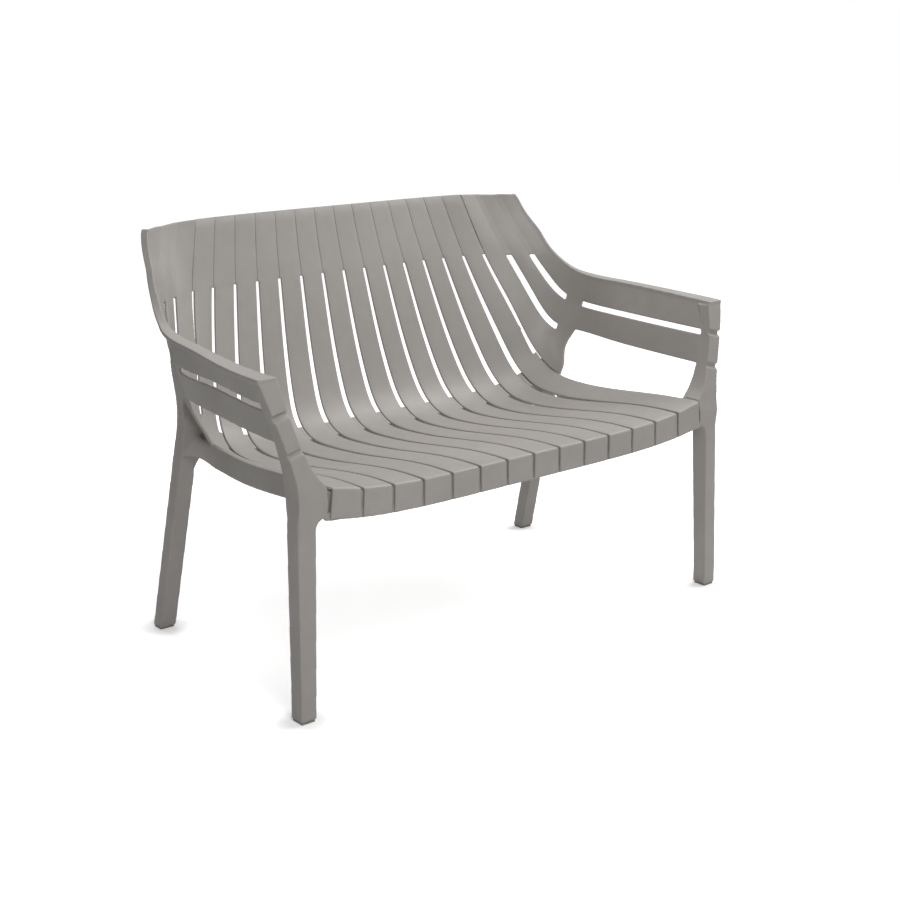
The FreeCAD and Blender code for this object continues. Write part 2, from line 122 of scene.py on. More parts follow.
def spread(tree, value, source, target, ease="LINEAR"):
    node = tree.nodes.new("ShaderNodeMapRange")
    node.interpolation_type = ease
    feed(tree, node.inputs["Value"], value)
    for name, limit in zip(("From Min", "From Max", "To Min", "To Max"), source + target):
        feed(tree, node.inputs[name], limit)
    return node.outputs["Result"]


print("node helpers ready:", maths.__name__, spread.__name__)

# %% [markdown]
# ## The studio floor
# A catalogue picture has no horizon: floor and backdrop melt into white, and only a small soft shadow at
# each foot ties the sofa to the ground. A white floor that is only lit would turn grey under the sofa and
# far from the lamps. So ours is white paper that also glows a little, for the camera alone. The glow is
# stronger in the distance, and it is held back in a small ring round each foot, where the shadow has to show.

# %% Floor
floor_reach, floor_white = 8.0, 0.86
glow_distance, glow_level = (0.9, 3.0), (0.56, 0.85)
ring_distance, ring_level = (0.025, 0.065), (0.45, 1.0)


def away_from(tree, place, point):
    node = tree.nodes.new("ShaderNodeVectorMath")
    node.operation = "DISTANCE"
    node.inputs[1].default_value = point
    tree.links.new(place, node.inputs[0])
    return node.outputs["Value"]


def floor_paper(feet):
    material, nodes, links = new_material("studio_floor")
    tree = material.node_tree
    place = nodes.new("ShaderNodeTexCoord").outputs["Object"]
    nearest = away_from(tree, place, feet[0])
    for foot in feet[1:]:
        nearest = maths(tree, "MINIMUM", nearest, away_from(tree, place, foot))
    glow = spread(tree, away_from(tree, place, (0.0, 0.0, 0.0)), glow_distance, glow_level)
    glow = maths(tree, "MULTIPLY", glow, spread(tree, nearest, ring_distance, ring_level, "SMOOTHSTEP"))
    seen = nodes.new("ShaderNodeLightPath").outputs["Is Camera Ray"]
    paper = nodes.new("ShaderNodeBsdfDiffuse")
    paper.inputs["Color"].default_value = (floor_white, floor_white, floor_white, 1.0)
    light = nodes.new("ShaderNodeEmission")
    both = nodes.new("ShaderNodeAddShader")
    out = nodes.new("ShaderNodeOutputMaterial")
    links.new(maths(tree, "MULTIPLY", glow, seen), light.inputs["Strength"])
    links.new(paper.outputs[0], both.inputs[0])
    links.new(light.outputs[0], both.inputs[1])
    links.new(both.outputs[0], out.inputs["Surface"])
    return material


def make_floor(feet):
    mesh = bpy.data.meshes.new("floor")
    corners = [(x * floor_reach, y * floor_reach, 0.0) for x, y in ((-1, -1), (1, -1), (1, 1), (-1, 1))]
    mesh.from_pydata(corners, [], [(0, 1, 2, 3)])
    mesh.materials.append(floor_paper(feet))
    floor = bpy.data.objects.new("floor", mesh)
    scene.collection.objects.link(floor)
    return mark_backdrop(floor)


glides = [end + "_glide_" + side for side in ("right", "left") for end in ("front", "rear")]
foot_boxes = [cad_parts[glide].bound_box for glide in glides]
feet = [sum((Vector(corner) for corner in box), Vector()) / len(box) for box in foot_boxes]
make_floor([(foot.x, foot.y, 0.0) for foot in feet])
print("floor keeps a shadow ring round %d feet" % len(feet))

# %% [markdown]
# ## Surroundings and lamps
# Soft light from many sides shows the form of a matt moulding without hard shadows. A white room gives a
# weak light from everywhere and looks pure white to the camera. Three square soft boxes do the rest: the
# one on the right brightens the seat, the one behind draws the top edges, and the one in front keeps the
# turned-down front edge and the legs readable.


# %% Surroundings and soft boxes
def make_surroundings(level):
    world = bpy.data.worlds.new("studio")
    scene.world = world
    world.use_nodes = True
    nodes, links = world.node_tree.nodes, world.node_tree.links
    nodes.clear()
    seen = nodes.new("ShaderNodeLightPath")
    room = nodes.new("ShaderNodeBackground")
    room.inputs["Strength"].default_value = level
    paper = nodes.new("ShaderNodeBackground")
    pick = nodes.new("ShaderNodeMixShader")
    out = nodes.new("ShaderNodeOutputWorld")
    for background in (room, paper):
        background.inputs["Color"].default_value = (1.0, 1.0, 1.0, 1.0)
    links.new(seen.outputs["Is Camera Ray"], pick.inputs[0])
    links.new(room.outputs[0], pick.inputs[1])
    links.new(paper.outputs[0], pick.inputs[2])
    links.new(pick.outputs[0], out.inputs["Surface"])


def soft_box(name, place, aim, size, watts):
    light = bpy.data.lights.new(name, "AREA")
    light.shape = "SQUARE"
    light.size = size
    light.energy = watts
    lamp = bpy.data.objects.new(name, light)
    lamp.location = place
    lamp.rotation_euler = (Vector(aim) - Vector(place)).to_track_quat("-Z", "Y").to_euler()
    scene.collection.objects.link(lamp)
    return lamp


make_surroundings(level=0.23)
seat_middle = (0.0, 0.0, 0.40)
boxes = [soft_box("right_box", (1.4, -0.3, 2.3), seat_middle, 1.6, 43.0),
         soft_box("rear_box", (0.0, 1.4, 2.4), seat_middle, 1.6, 20.0),
         soft_box("front_box", (-1.2, -2.4, 2.6), seat_middle, 1.4, 50.0)]
print("studio has %d soft boxes" % len(boxes))

# %% [markdown]
# ## The resin finish
# The sofa is dyed through, so its colour comes from the resin and not from paint. Three things stop it
# looking like a plain computer surface: the tone drifts a little over a hand's width where the melt cooled
# at different speeds, the mould left a fine spark-eroded grain, and the edges that hands and trousers rub
# are a touch paler and smoother. All three live in one node group, so each material only states its colour
# and how strong each effect is.

# %% Finish group
plain_finish = {"Tone drift": 0.05, "Edge wear": 0.2, "Smooth": 0.40, "Rough": 0.56, "Grain": 1.0}
rubbed_colour = (0.62, 0.60, 0.57, 1.0)


def finish_sockets(tree):
    tree.interface.new_socket("Resin colour", in_out="INPUT", socket_type="NodeSocketColor")
    for name, value in plain_finish.items():
        strength = tree.interface.new_socket(name, in_out="INPUT", socket_type="NodeSocketFloat")
        strength.default_value = value
    for name, kind in (("Colour", "Color"), ("Roughness", "Float"), ("Height", "Float")):
        tree.interface.new_socket(name, in_out="OUTPUT", socket_type="NodeSocket" + kind)


def finish_group():
    tree = bpy.data.node_groups.new("Moulded resin finish", "ShaderNodeTree")
    finish_sockets(tree)
    nodes, links = tree.nodes, tree.links
    given, made = nodes.new("NodeGroupInput").outputs, nodes.new("NodeGroupOutput").inputs
    place = nodes.new("ShaderNodeTexCoord").outputs["Object"]

    def noise(scale, detail):
        node = nodes.new("ShaderNodeTexNoise")
        node.inputs["Scale"].default_value = scale
        node.inputs["Detail"].default_value = detail
        links.new(place, node.inputs["Vector"])
        return node.outputs["Fac"]

    def layered(broad, share, fine):
        """Two noises added, the broad one with the greater share."""
        fine_part = maths(tree, "MULTIPLY", fine, 1 - share)
        return maths(tree, "ADD", maths(tree, "MULTIPLY", broad, share), fine_part)

    cloud = spread(tree, layered(noise(5.0, 3.0), 0.65, noise(38.0, 4.0)), (0.35, 0.65), (-1.0, 1.0))
    toned = nodes.new("ShaderNodeHueSaturation")
    links.new(given["Resin colour"], toned.inputs["Color"])
    drift = maths(tree, "MULTIPLY", cloud, given["Tone drift"])
    links.new(maths(tree, "ADD", drift, 1.0), toned.inputs["Value"])

    form = nodes.new("ShaderNodeNewGeometry")
    edge = spread(tree, form.outputs["Pointiness"], (0.52, 0.60), (0.0, 1.0))
    uneven = maths(tree, "MULTIPLY", edge, spread(tree, noise(60.0, 5.0), (0.3, 0.6), (0.35, 1.0)))
    rubbed = maths(tree, "MULTIPLY", uneven, given["Edge wear"])
    worn = nodes.new("ShaderNodeMix")
    worn.data_type = "RGBA"
    worn.inputs["B"].default_value = rubbed_colour
    links.new(rubbed, worn.inputs["Factor"])
    links.new(toned.outputs["Color"], worn.inputs["A"])
    links.new(worn.outputs["Result"], made["Colour"])

    patch = layered(noise(11.0, 4.0), 0.6, noise(240.0, 2.0))
    satin = spread(tree, patch, (0.32, 0.68), (given["Smooth"], given["Rough"]))
    links.new(maths(tree, "SUBTRACT", satin, maths(tree, "MULTIPLY", rubbed, 0.25)), made["Roughness"])
    spark = layered(noise(1500.0, 2.0), 0.7, noise(420.0, 2.0))
    links.new(maths(tree, "MULTIPLY", spark, given["Grain"]), made["Height"])
    return tree


moulded_finish = finish_group()
print("finish group has %d nodes" % len(moulded_finish.nodes))

# %% [markdown]
# ## Four materials
# Slats, arms, rails and glides come from the same resin and differ only a little: arms are rubbed most,
# the hidden rails hardly at all, and the glides are darker and duller. Each material places the group above,
# sets its strengths and leads its outputs into one Principled surface. The grain goes in as a bump.


# %% Materials
def resin(name, colour, **strengths):
    material, nodes, links = new_material(name)
    finish = nodes.new("ShaderNodeGroup")
    finish.node_tree = moulded_finish
    finish.inputs["Resin colour"].default_value = colour + (1.0,)
    for socket, value in strengths.items():
        finish.inputs[socket.replace("_", " ").capitalize()].default_value = value
    grain = nodes.new("ShaderNodeBump")
    grain.inputs["Strength"].default_value = 0.35
    grain.inputs["Distance"].default_value = 0.0003
    surface = nodes.new("ShaderNodeBsdfPrincipled")
    surface.inputs["IOR"].default_value = 1.49
    out = nodes.new("ShaderNodeOutputMaterial")
    links.new(finish.outputs["Colour"], surface.inputs["Base Color"])
    links.new(finish.outputs["Roughness"], surface.inputs["Roughness"])
    links.new(finish.outputs["Height"], grain.inputs["Height"])
    links.new(grain.outputs["Normal"], surface.inputs["Normal"])
    links.new(surface.outputs[0], out.inputs["Surface"])
    return material


taupe, dark_taupe = (0.315, 0.297, 0.280), (0.230, 0.217, 0.205)
glide_strengths = {"tone_drift": 0.02, "edge_wear": 0.05, "smooth": 0.6, "rough": 0.8}
finishes = {"slat_resin": resin("slat_resin", taupe, edge_wear=0.12),
            "arm_resin": resin("arm_resin", taupe, edge_wear=0.14),
            "rail_resin": resin("rail_resin", taupe, edge_wear=0.05, rough=0.62),
            "glide_rubber": resin("glide_rubber", dark_taupe, **glide_strengths)}
print("finishes:", ", ".join(finishes))

# %% [markdown]
# ## The line of a slat
# Seen from the side, a slat is a long J: a turned-down front edge, a seat that dips towards the back, a
# tight bend and a back that leans away. Seen from the front, the slats fan in towards the top. Both could be
# drawn curve by curve, but one rule for all fourteen keeps them in step. At a few stations along the J we
# know how far back the line is, how high, how wide a slat is there, how much the outer slats bow forward
# and rise, and how wide the gap to the neighbour is.

# %% Stations
slats_per_half = 7
slat_thickness = 0.005
seam_width = 0.0002
front_edge, top_edge = cad_low.y, cad_high.z
seat_height, apron_height, nose_radius = 0.400, 0.0525, 0.005
front_rise, apron_splay, apron_gap = 0.026, 0.0055, 0.007
sweep_power = 5

# back from the front edge, height, slat pitch, extra pitch of the inner slats, forward bow, rise at the
# outermost line, gap between slats
nose_top = (nose_radius, seat_height, 0.0684, 0.0, 0.0, front_rise, 0.0066)
crown = (0.048, seat_height, 0.0684, 0.0, 0.0, front_rise, 0.0060)
seat_middle_line = (0.2736, 0.3761, 0.0672, 0.0010, 0.0, 0.0350, 0.0080)
seat_rear = (0.3939, 0.3672, 0.0662, 0.0016, 0.003, 0.0475, 0.0104)
slot_start = (0.4516, 0.3716, 0.0660, 0.0025, 0.0198, 0.0522, 0.0118)
bend = (0.4888, 0.3891, 0.0645, 0.0037, 0.0228, 0.0640, 0.0128)
lumbar = (0.5331, 0.4560, 0.0620, 0.0031, 0.0309, 0.0617, 0.0116)
slot_top = (0.6040, top_edge - 0.136, 0.0555, 0.0, 0.0189, 0.0, 0.0080)
band_middle = (0.6236, top_edge - 0.068, 0.05265, 0.0, 0.0170, 0.0, seam_width)
top_line = (0.640, top_edge, 0.0498, 0.0, 0.015, 0.0, seam_width)
stations = np.array([nose_top, crown, seat_middle_line, seat_rear, slot_start, bend, lumbar, slot_top,
                     band_middle, top_line])
slot_end = 7          # station where the open slots stop under the top band
arm_slot_foot = 5.13  # the slot beside the arm starts here, a little above the bend
# the line inside the outermost slat lies this much further out than the even spread, and a share of it lower
tuck = np.array([0.0, 0.0, 0.0065, 0.0092, 0.0049, 0.0044, 0.0040, 0.0, 0.0, 0.0])
tuck_lines, tuck_share, tuck_drop = [3, 6, 7], [0.0, 1.0, 0.0], 0.68
print("slats follow %d stations" % len(stations))

# %% [markdown]
# ## Smooth lines through the stations
# A seam line between two slats runs through all stations without a corner. A cubic spline does that: it
# picks the direction at each station so that the curve bends as evenly as it can. We sample it at many
# marks, more of them where the line turns and where a slot ends.


# %% Seam lines
def sweep(count):
    return (abs(count) / slats_per_half) ** sweep_power


def spline_rows(points, marks):
    """Values at marks (station number and fraction) of the smooth curve through the points."""
    steps = np.linalg.norm(np.diff(points, axis=0), axis=1)
    slopes = np.diff(points, axis=0) / steps[:, None]
    size = len(points)
    matrix, right = np.zeros((size, size)), np.zeros_like(points)
    for i in range(1, size - 1):
        matrix[i, i - 1:i + 2] = steps[i], 2 * (steps[i - 1] + steps[i]), steps[i - 1]
        right[i] = 3 * (steps[i] * slopes[i - 1] + steps[i - 1] * slopes[i])
    for end, near, after in ((0, 0, 1), (size - 1, size - 2, size - 3)):
        share = steps[near] / (steps[near] + steps[after])
        matrix[end, end] = 1.0
        right[end] = slopes[near] + (slopes[near] - slopes[after]) * share
    tangents = np.linalg.solve(matrix, right)
    rows = []
    for mark in marks:
        i = min(int(mark), size - 2)
        h, t = steps[i], mark - i
        rows.append((2 * t**3 - 3 * t**2 + 1) * points[i] + (t**3 - 2 * t**2 + t) * h * tangents[i]
                    + (3 * t**2 - 2 * t**3) * points[i + 1] + (t**3 - t**2) * h * tangents[i + 1])
    return np.array(rows)


def station_points(count):
    """The seam line's points at the stations; count 0 is the middle of the sofa, 7 the outermost line."""
    back, height, pitch, ease, bow, rise = stations[:, :6].T
    across = pitch * count + ease * count * (1 - (abs(count) / slats_per_half) ** (sweep_power - 1))
    tucked = tuck * np.interp(abs(count), tuck_lines, tuck_share)
    return np.stack([across + np.sign(count) * tucked, front_edge + back - bow * sweep(count),
                     height + rise * sweep(count) - tuck_drop * tucked], axis=1)


span_length = np.linalg.norm(np.diff(stations[:, :2], axis=0), axis=1)
rows_per_span = [3, 14, 12, 8, 8, 14, 18, 8, 10]
slot_corner, slot_lip = 0.0014, 0.0008
near_slot_end = [-slot_corner * (1 - math.sin(a)) for a in np.radians([0, 25, 50, 70])] + [-1e-6, 1e-6]
near_slot_end += [slot_lip * (1 - math.cos(a)) for a in np.radians([45, 90])]


def row_marks():
    marks = [i + k / n for i, n in enumerate(rows_per_span) for k in range(n)] + [float(len(rows_per_span))]
    for end, way, span in ((slot_end, 1, 6), (arm_slot_foot, -1, 5)):
        step = sorted(end + way * s / span_length[span] for s in near_slot_end)
        marks = sorted([m for m in marks if m < step[0] - 0.01 or m > step[-1] + 0.01] + step)
    return marks


marks = row_marks()
print("slat line has %d rows" % len(marks))

# %% [markdown]
# ## One slat, from two lines
# A slat lies between two seam lines, pulled in by half the gap on each side. The turned-down front and the
# rounded nose come first, then the long J. The gap narrows up the back. Near the top the slot ends: the slat
# widens in a small fillet until only a hair line is left to its neighbour. Beside the arm the slot starts
# higher, and on the seat the outermost slat leaves a ledge of the side rail in view.

# %% Rows of a slat
lip_radius = slat_thickness / 2
arm_seam = 0.001
arm_slot_half = (0.0090, 0.0062)  # at its foot and at its top
ledge_width = 0.0085


def seam_rows(count):
    points = station_points(count)
    lift = front_rise * sweep(count)
    foot_height = seat_height - apron_height + 0.84 * lift
    low = np.array([points[0][0] + apron_splay * sweep(count), front_edge, foot_height])
    high = np.array([points[0][0], front_edge, seat_height + lift - nose_radius])
    apron = [low + (high - low) * t for t in (0.0, 0.012, 0.03, 0.06, 0.3, 0.6, 0.85, 1.0)]
    nose = []
    for angle in np.radians([18, 36, 54, 72]):
        nose.append(high + nose_radius * np.array([0.0, 1 - math.cos(angle), math.sin(angle)]))
    return np.array(apron + nose), spline_rows(points, marks)


def slot_edge(past, wide, narrow):
    """Half gap near the end of a slot: a round inner corner, the end wall, then a small round lip."""
    if past < 0:
        return wide - slot_corner + math.sqrt(slot_corner**2 - max(0.0, slot_corner + past) ** 2)
    return narrow + slot_lip - math.sqrt(slot_lip**2 - max(0.0, slot_lip - past) ** 2)


def half_gap(count, mark):
    gap = np.interp(mark, range(len(stations)), stations[:, 6]) / 2
    beside_arm = np.interp(mark, [arm_slot_foot, slot_end], arm_slot_half)
    if count == slats_per_half and mark < slot_end - 1:
        ledge = np.interp(mark, [0.85, 1.25, 2.0, 3.2], [0.0, ledge_width, ledge_width, 0.0])
        return ledge + slot_edge((arm_slot_foot - mark) * span_length[5], beside_arm, arm_seam / 2)
    if mark > slot_end - 1:
        wide = beside_arm if count == slats_per_half else gap
        return slot_edge((mark - slot_end) * span_length[6], wide, seam_width / 2)
    return gap


def slat_lines(count):
    """Left and right edge of a slat, row by row, and the direction into the resin."""
    lines = []
    for side, seam in ((1, count), (-1, count + 1)):
        front, body = seam_rows(seam)
        gap = np.array([apron_gap / 2] * len(front) + [half_gap(seam, mark) for mark in marks])
        lines.append((np.concatenate([front, body]), side * gap))
    (left, left_gap), (right, right_gap) = lines
    across = right - left
    across /= np.linalg.norm(across, axis=1)[:, None]
    left, right = left + across * left_gap[:, None], right + across * right_gap[:, None]
    run = np.gradient((left + right) / 2, axis=0)
    into = np.cross(run, across)
    into /= np.linalg.norm(into, axis=1)[:, None]
    return left, right, into


left, right, into = slat_lines(0)
print("first slat: %d rows, seat %.1f mm wide" % (len(left), 1000 * np.linalg.norm(right[20] - left[20])))

# %% [markdown]
# ## The section of a slat
# Cut across, a slat is a flat strip with soft edges: a rounder pair on top, where people sit, a sharper pair
# below, and a crown so slight that it only shows in the light. The section is a small object whose points
# say where each corner sits: how far from left to right, how far in from the edge, and how deep.

# %% Slat section
top_edge_radius, under_edge_radius, crowning = 0.0017, 0.0008, 0.0004


def edge_arc(side, radius, angles, from_below):
    """Corners of one rounded long edge; side 0 is the left edge, 1 the right one."""
    sign = 1 - 2 * side
    arc = []
    for angle in np.radians(angles):
        depth = radius * (1 - math.sin(angle))
        depth = slat_thickness - depth if from_below else depth
        arc.append((side, sign * radius * (1 - math.cos(angle)), depth))
    return arc


def section_corners():
    fine, coarse = [0, 22, 45, 68, 90], [0, 45, 90]
    corners = edge_arc(0, top_edge_radius, fine, False)
    corners += [(s, 0.0, -crowning * (1 - (2 * s - 1) ** 2)) for s in (0.2, 0.4, 0.6, 0.8)]
    corners += edge_arc(1, top_edge_radius, fine, False)[::-1]
    corners += edge_arc(1, under_edge_radius, coarse, True)
    corners += [(s, 0.0, slat_thickness) for s in (0.67, 0.33)]
    corners += edge_arc(0, under_edge_radius, coarse, True)[::-1]
    return corners + corners[:1]


section_mesh = bpy.data.meshes.new("slat_section")
section_mesh.from_pydata(section_corners(), [], [])
slat_section = bpy.data.objects.new("slat_section", section_mesh)
print("slat section has %d corners" % (len(section_mesh.vertices) - 1))

# %% [markdown]
# ## Growing the slat with Geometry Nodes
# The same section is carried along fourteen different pairs of lines, which is a job for Geometry Nodes. The
# tree takes the two lines as points, lays a flat grid with one row per point pair, and moves every grid
# corner to its place between the lines. Each row also carries the direction into the resin and a squeeze
# that closes the two ends with a round lip, as the mould does.


# %% Slat tree
def slat_sockets(tree):
    sockets = (("Geometry", "Geometry"), ("Rows", "Int"), ("Section", "Object"), ("Middle depth", "Float"),
               ("Finish", "Material"))
    for name, kind in sockets:
        tree.interface.new_socket(name, in_out="INPUT", socket_type="NodeSocket" + kind)
    tree.interface.new_socket("Geometry", in_out="OUTPUT", socket_type="NodeSocketGeometry")


def slat_tree():
    tree = bpy.data.node_groups.new("Moulded slat", "GeometryNodeTree")
    slat_sockets(tree)
    nodes, links = tree.nodes, tree.links
    given, made = nodes.new("NodeGroupInput").outputs, nodes.new("NodeGroupOutput").inputs

    def whole(operation, a, b):
        node = nodes.new("FunctionNodeIntegerMath")
        node.operation = operation
        links.new(a, node.inputs[0])
        links.new(b, node.inputs[1])
        return node.outputs[0]

    def vector(operation, a, b=None):
        node = nodes.new("ShaderNodeVectorMath")
        node.operation = operation
        links.new(a, node.inputs[0])
        if b is not None:
            links.new(b, node.inputs["Scale" if operation == "SCALE" else 1])
        return node.outputs["Vector"]

    def named(name, kind):
        node = nodes.new("GeometryNodeInputNamedAttribute")
        node.data_type = kind
        node.inputs["Name"].default_value = name
        return node.outputs["Attribute"]

    def sample(geometry, value, index, kind="FLOAT_VECTOR"):
        node = nodes.new("GeometryNodeSampleIndex")
        node.data_type, node.domain = kind, "POINT"
        links.new(geometry, node.inputs["Geometry"])
        links.new(value, node.inputs["Value"])
        links.new(index, node.inputs["Index"])
        return node.outputs["Value"]

    lines, rows, middle = given["Geometry"], given["Rows"], given["Middle depth"]
    section = nodes.new("GeometryNodeObjectInfo")
    links.new(given["Section"], section.inputs["Object"])
    count = nodes.new("GeometryNodeAttributeDomainSize")
    links.new(section.outputs["Geometry"], count.inputs["Geometry"])
    corners = count.outputs["Point Count"]
    grid = nodes.new("GeometryNodeMeshGrid")
    links.new(rows, grid.inputs["Vertices X"])
    links.new(corners, grid.inputs["Vertices Y"])
    index = nodes.new("GeometryNodeInputIndex").outputs[0]
    place = nodes.new("GeometryNodeInputPosition").outputs[0]
    row = whole("DIVIDE_FLOOR", index, corners)
    corner = whole("MODULO", index, corners)
    left = sample(lines, place, row)
    right = sample(lines, place, whole("ADD", row, rows))
    into = sample(lines, named("into", "FLOAT_VECTOR"), row)
    squeeze = sample(lines, named("squeeze", "FLOAT"), row, "FLOAT")
    parts = nodes.new("ShaderNodeSeparateXYZ")
    links.new(sample(section.outputs["Geometry"], place, corner), parts.inputs[0])
    side, inset, depth = parts.outputs
    width = vector("SUBTRACT", right, left)
    squeezed = maths(tree, "MULTIPLY", maths(tree, "SUBTRACT", depth, middle), squeeze)
    flat = maths(tree, "ADD", squeezed, middle)
    across = vector("ADD", vector("SCALE", width, side), vector("SCALE", vector("NORMALIZE", width), inset))
    put = nodes.new("GeometryNodeSetPosition")
    links.new(vector("ADD", vector("ADD", left, across), vector("SCALE", into, flat)), put.inputs["Position"])
    weld = nodes.new("GeometryNodeMergeByDistance")
    weld.inputs["Distance"].default_value = 0.00002
    smooth = nodes.new("GeometryNodeSetShadeSmooth")
    real = nodes.new("GeometryNodeRealizeInstances")
    paint = nodes.new("GeometryNodeSetMaterial")
    links.new(given["Finish"], paint.inputs["Material"])
    grown_so_far = grid.outputs["Mesh"]
    for node in (put, weld, smooth, real, paint):
        links.new(grown_so_far, node.inputs["Geometry"])
        grown_so_far = node.outputs["Geometry"]
    links.new(grown_so_far, made["Geometry"])
    return tree


grow_slat = slat_tree()
print("slat tree has %d nodes" % len(grow_slat.nodes))

# %% [markdown]
# ## Fourteen slats
# Each slat is grown from its own two lines and then baked into a plain mesh, so that the finished piece
# carries no modifier. The left half is the mirror image of the right one. Every finished piece rides on the
# sofa's one body, takes the place of its CAD node and says which finish it wears.


# %% Make the fourteen slats
def baked(piece, name):
    """The evaluated shape of a piece as a plain mesh object of its own."""
    scene.collection.objects.link(piece)
    view = bpy.context.evaluated_depsgraph_get()
    mesh = bpy.data.meshes.new_from_object(piece.evaluated_get(view))
    mesh.validate()
    finished = bpy.data.objects.new(name, mesh)
    bpy.data.objects.remove(piece)
    scene.collection.objects.link(finished)
    return finished


def dressed(piece, nodes, finish):
    piece.data.materials.clear()
    piece.data.materials.append(finishes[finish])
    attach(piece, "root")
    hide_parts(*nodes)
    return piece


def carry(mesh, name, kind, field, values):
    """Store one value per row on both lines."""
    both = np.concatenate([values, values]).ravel()
    mesh.attributes.new(name, kind, "POINT").data.foreach_set(field, both)


def grown(name, left, right, into):
    """A strip with the slat section between two lines, closed with a round lip at both ends."""
    rows = len(left)
    squeeze = np.ones(rows)
    squeeze[:4] = 0.0, 0.6, 0.9, 1.0
    squeeze[-4:] = 1.0, 0.9, 0.6, 0.0
    mesh = bpy.data.meshes.new("lines")
    mesh.from_pydata([tuple(p) for p in np.concatenate([left, right])], [], [])
    carry(mesh, "into", "FLOAT_VECTOR", "vector", into)
    carry(mesh, "squeeze", "FLOAT", "value", squeeze)
    lines = bpy.data.objects.new("lines", mesh)
    grow = lines.modifiers.new("grow", "NODES")
    grow.node_group = grow_slat
    values = {"Rows": rows, "Section": slat_section, "Middle depth": lip_radius,
              "Finish": finishes["slat_resin"]}
    for socket in grow_slat.interface.items_tree:
        if socket.in_out == "INPUT" and socket.name in values:
            grow[socket.identifier] = values[socket.name]
    return baked(lines, name)


def make_slat(count, side):
    left, right, into = slat_lines(count)
    if side == "left":
        flip = np.array([-1.0, 1.0, 1.0])
        left, right, into = right * flip, left * flip, into * flip
    node = "slat_%d_%s" % (count + 1, side)
    return dressed(grown("moulded_" + node, left, right, into), [node], "slat_resin")


slats = [make_slat(count, side) for count in range(slats_per_half) for side in ("right", "left")]
print("%d slats, %d faces" % (len(slats), sum(len(s.data.polygons) for s in slats)))

# %% [markdown]
# ## Ledges and ramps
# Two small forms of the side frames are made before their skin goes on: the ledge of the side rail beside
# the outermost slat, and the ramp that leads out of each groove across the post. Both are bars: a section
# repeated along a line, with a closed end at either side.


# %% Ledges and ramps
def bar(sections):
    """Points and faces of a closed bar through a row of sections."""
    rows, corners = len(sections), len(sections[0])
    faces = [tuple(range(corners)), tuple((rows - 1) * corners + c for c in range(corners))]
    for r in range(rows - 1):
        for c in range(corners):
            near, far = r * corners, (r + 1) * corners
            faces.append((near + c, near + (c + 1) % corners, far + (c + 1) % corners, far + c))
    return [tuple(p) for section in sections for p in section], faces


def seat_ledge(wide=0.0026, step=0.0030):
    places = np.linspace(0.9, 4.7, 25)
    depth = np.interp(places, [0.9, 3.0, 3.6, 4.4, 4.7], [0.045, 0.047, 0.044, 0.043, 0.040])
    edge = spline_rows(station_points(slats_per_half), places)
    sections = []
    for place, (x, y, z), deep in zip(places, edge, depth):
        inner, outer, top, foot = x - half_gap(slats_per_half, place), x + wide, z - step, z - deep
        sections.append([(inner, y, top), (outer, y, top), (outer, y, foot), (inner, y, foot)])
    return bar(sections)


post_line, groove_drop = 0.552, math.tan(math.radians(11.0))
ramp_profile = [(0.0070, -0.0066), (0.0070, -0.0006), (-0.0006, -0.0066)]


def groove_ramp(height, back, from_x, to_x):
    """Wedge in the lower part of a post groove; the groove drops outwards."""
    sections = []
    for x in (from_x, to_x):
        level = height - (x - post_line) * groove_drop
        sections.append([(x, front_edge + back + y, level + z) for y, z in ramp_profile])
    return bar(sections)


ledge_and_ramps = [seat_ledge(), groove_ramp(0.5580, 0.0328, 0.5402, 0.5712),
                   groove_ramp(0.4882, 0.0186, 0.5208, 0.5515)]
print("ledge and ramps have %d points" % sum(len(points) for points, faces in ledge_and_ramps))

# %% [markdown]
# ## One skin over each side
# Rim, arm panel, post, legs and side rail leave the mould as one piece: no seam shows between them on the
# real sofa. The frame keeps them apart, with sharp edges. Bevels would round the edges but leave the seams.
# So we gather the five shapes of a side, swell them by a third of a millimetre until they just run into each
# other, and let a remesh lay one new skin of small cubes over all of them. Relaxing the skin gives every
# edge and inside corner a small radius, as molten resin does, and a collapse takes out the points that the
# flat faces don't need.


# %% Skin the side frames
def gathered(nodes, extras=(), side="right"):
    """One mesh with the faces of several CAD nodes and of extra bars."""
    shapes = []
    for node in nodes:
        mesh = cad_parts[node].data
        shapes.append(([tuple(v.co) for v in mesh.vertices], [tuple(f.vertices) for f in mesh.polygons]))
    turn = 1.0 if side == "right" else -1.0
    shapes += [([(turn * x, y, z) for x, y, z in points], faces) for points, faces in extras]
    form = bmesh.new()
    for points, faces in shapes:
        corners = [form.verts.new(p) for p in points]
        for face in faces:
            form.faces.new([corners[i] for i in face])
    bmesh.ops.remove_doubles(form, verts=form.verts, dist=0.00001)
    bmesh.ops.recalc_face_normals(form, faces=form.faces)
    mesh = bpy.data.meshes.new("gathered")
    form.to_mesh(mesh)
    form.free()
    return mesh


def softened(name, mesh, cube, passes, swell=0.0, keep=1.0):
    piece = bpy.data.objects.new("gathered", mesh)
    if swell:
        grow = piece.modifiers.new("swell", "DISPLACE")
        grow.strength, grow.mid_level = swell, 0.0
    skin = piece.modifiers.new("skin", "REMESH")
    skin.mode, skin.voxel_size, skin.use_smooth_shade = "VOXEL", cube, True
    relax = piece.modifiers.new("relax", "SMOOTH")
    relax.factor, relax.iterations = 0.5, passes
    if keep < 1.0:
        thin = piece.modifiers.new("thin", "DECIMATE")
        thin.ratio = keep
    return baked(piece, name)


